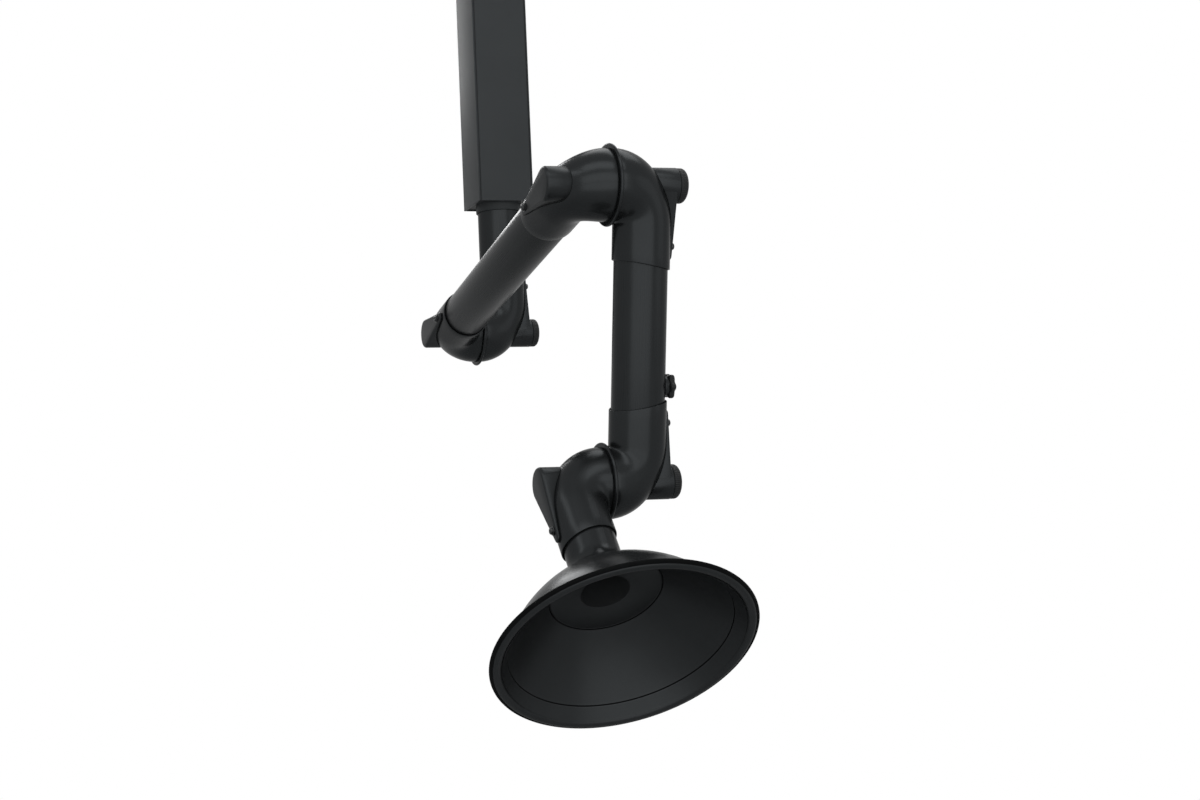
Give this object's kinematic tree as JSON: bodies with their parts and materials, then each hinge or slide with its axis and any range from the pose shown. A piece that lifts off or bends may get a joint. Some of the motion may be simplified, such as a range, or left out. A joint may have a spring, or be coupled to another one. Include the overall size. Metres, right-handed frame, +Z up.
{
  "type": "fume extraction arm",
  "caption": "Ceiling-hung fume extraction arm: square column with a swivel, round duct tubes on friction elbow joints, a damper and a flared round hood.",
  "frame": {"origin": "centre of the ceiling plate's upper face, on the axis of the column, the riser pipe and the swivel", "axes": "+Z up; +X along the hinge axes of the shoulder, middle and wrist joints, towards their tension knobs; the arm reaches out towards -Y"},
  "size_m": [0.3657, 1.0051, 1.4187],
  "materials": {
    "coated_steel": "satin",
    "anodised_tube": "satin",
    "moulded_plastic": "satin",
    "ribbed_plastic": "matte",
    "rubber": "matte",
    "bearing_plastic": "satin",
    "bright_steel": "satin",
    "black_steel": "satin"
  },
  "bodies": {
    "column": {"ceiling_plate": "coated_steel", "column_profile": "coated_steel", "socket_screw_right": "black_steel", "socket_screw_left": "black_steel", "housing_screw_right": "black_steel", "housing_screw_left": "black_steel", "riser_pipe": "anodised_tube", "riser_seal": "rubber", "swivel_housing": "coated_steel", "swivel_bush": "bearing_plastic"},
    "swivel": {"upper_tube": "anodised_tube", "shoulder_right_bend": "moulded_plastic", "shoulder_right_bracket": "moulded_plastic", "shoulder_right_screw": "black_steel", "shoulder_seam_ring": "rubber", "shoulder_disc_spring": "bright_steel"},
    "first_arm": {"shoulder_left_bend": "moulded_plastic", "shoulder_left_bracket": "moulded_plastic", "shoulder_left_screw": "black_steel", "shoulder_spindle": "bright_steel", "first_arm_tube": "anodised_tube", "middle_left_bend": "moulded_plastic", "middle_left_bracket": "moulded_plastic", "middle_left_screw": "black_steel", "middle_spindle": "bright_steel"},
    "second_arm": {"middle_right_bend": "moulded_plastic", "middle_right_bracket": "moulded_plastic", "middle_right_screw": "black_steel", "middle_seam_ring": "rubber", "middle_disc_spring": "bright_steel", "second_arm_tube": "anodised_tube", "damper_base": "moulded_plastic", "wrist_right_bend": "moulded_plastic", "wrist_right_bracket": "moulded_plastic", "wrist_right_screw": "black_steel", "wrist_seam_ring": "rubber", "wrist_disc_spring": "bright_steel"},
    "hood": {"wrist_left_bend": "moulded_plastic", "wrist_left_bracket": "moulded_plastic", "wrist_left_screw": "black_steel", "wrist_spindle": "bright_steel", "hood_neck_pipe": "moulded_plastic", "hood_bell": "moulded_plastic", "hood_throat": "moulded_plastic", "hood_rim": "moulded_plastic", "hood_edge": "rubber"},
    "damper": {"damper_shaft": "bright_steel", "damper_plate": "bright_steel", "damper_knob": "ribbed_plastic"},
    "shoulder_knob": {"shoulder_tension_knob": "ribbed_plastic"},
    "middle_knob": {"middle_tension_knob": "ribbed_plastic"},
    "wrist_knob": {"wrist_tension_knob": "ribbed_plastic"}
  },
  "joints": [
    {"name": "swivel_turn", "type": "hinge", "parent": "column", "child": "swivel", "pos_m": [0, 0, -0.51], "axis": [0, 0, 1], "range_deg": [-170, 170]},
    {"name": "shoulder_pivot", "type": "hinge", "parent": "swivel", "child": "first_arm", "pos_m": [-0.05, 0, -0.7383], "axis": [-1, 0, 0], "range_deg": [-70, 30]},
    {"name": "middle_pivot", "type": "hinge", "parent": "first_arm", "child": "second_arm", "pos_m": [-0.05, -0.66566, -0.61493], "axis": [-1, 0, 0], "range_deg": [-24, 90]},
    {"name": "wrist_pivot", "type": "hinge", "parent": "second_arm", "child": "hood", "pos_m": [-0.05, -0.59343, -1.02461], "axis": [-1, 0, 0], "range_deg": [-95, 65]},
    {"name": "damper_turn", "type": "hinge", "parent": "second_arm", "child": "damper", "pos_m": [0, -0.61704, -0.89067], "axis": [1, 0, 0], "range_deg": [0, 90]},
    {"name": "shoulder_knob_turn", "type": "hinge", "parent": "swivel", "child": "shoulder_knob", "pos_m": [-0.05, 0, -0.7383], "axis": [1, 0, 0], "range_deg": [-180, 180]},
    {"name": "middle_knob_turn", "type": "hinge", "parent": "second_arm", "child": "middle_knob", "pos_m": [-0.05, -0.66566, -0.61493], "axis": [1, 0, 0], "range_deg": [-180, 180]},
    {"name": "wrist_knob_turn", "type": "hinge", "parent": "second_arm", "child": "wrist_knob", "pos_m": [-0.05, -0.59343, -1.02461], "axis": [1, 0, 0], "range_deg": [-180, 180]}
  ]
}
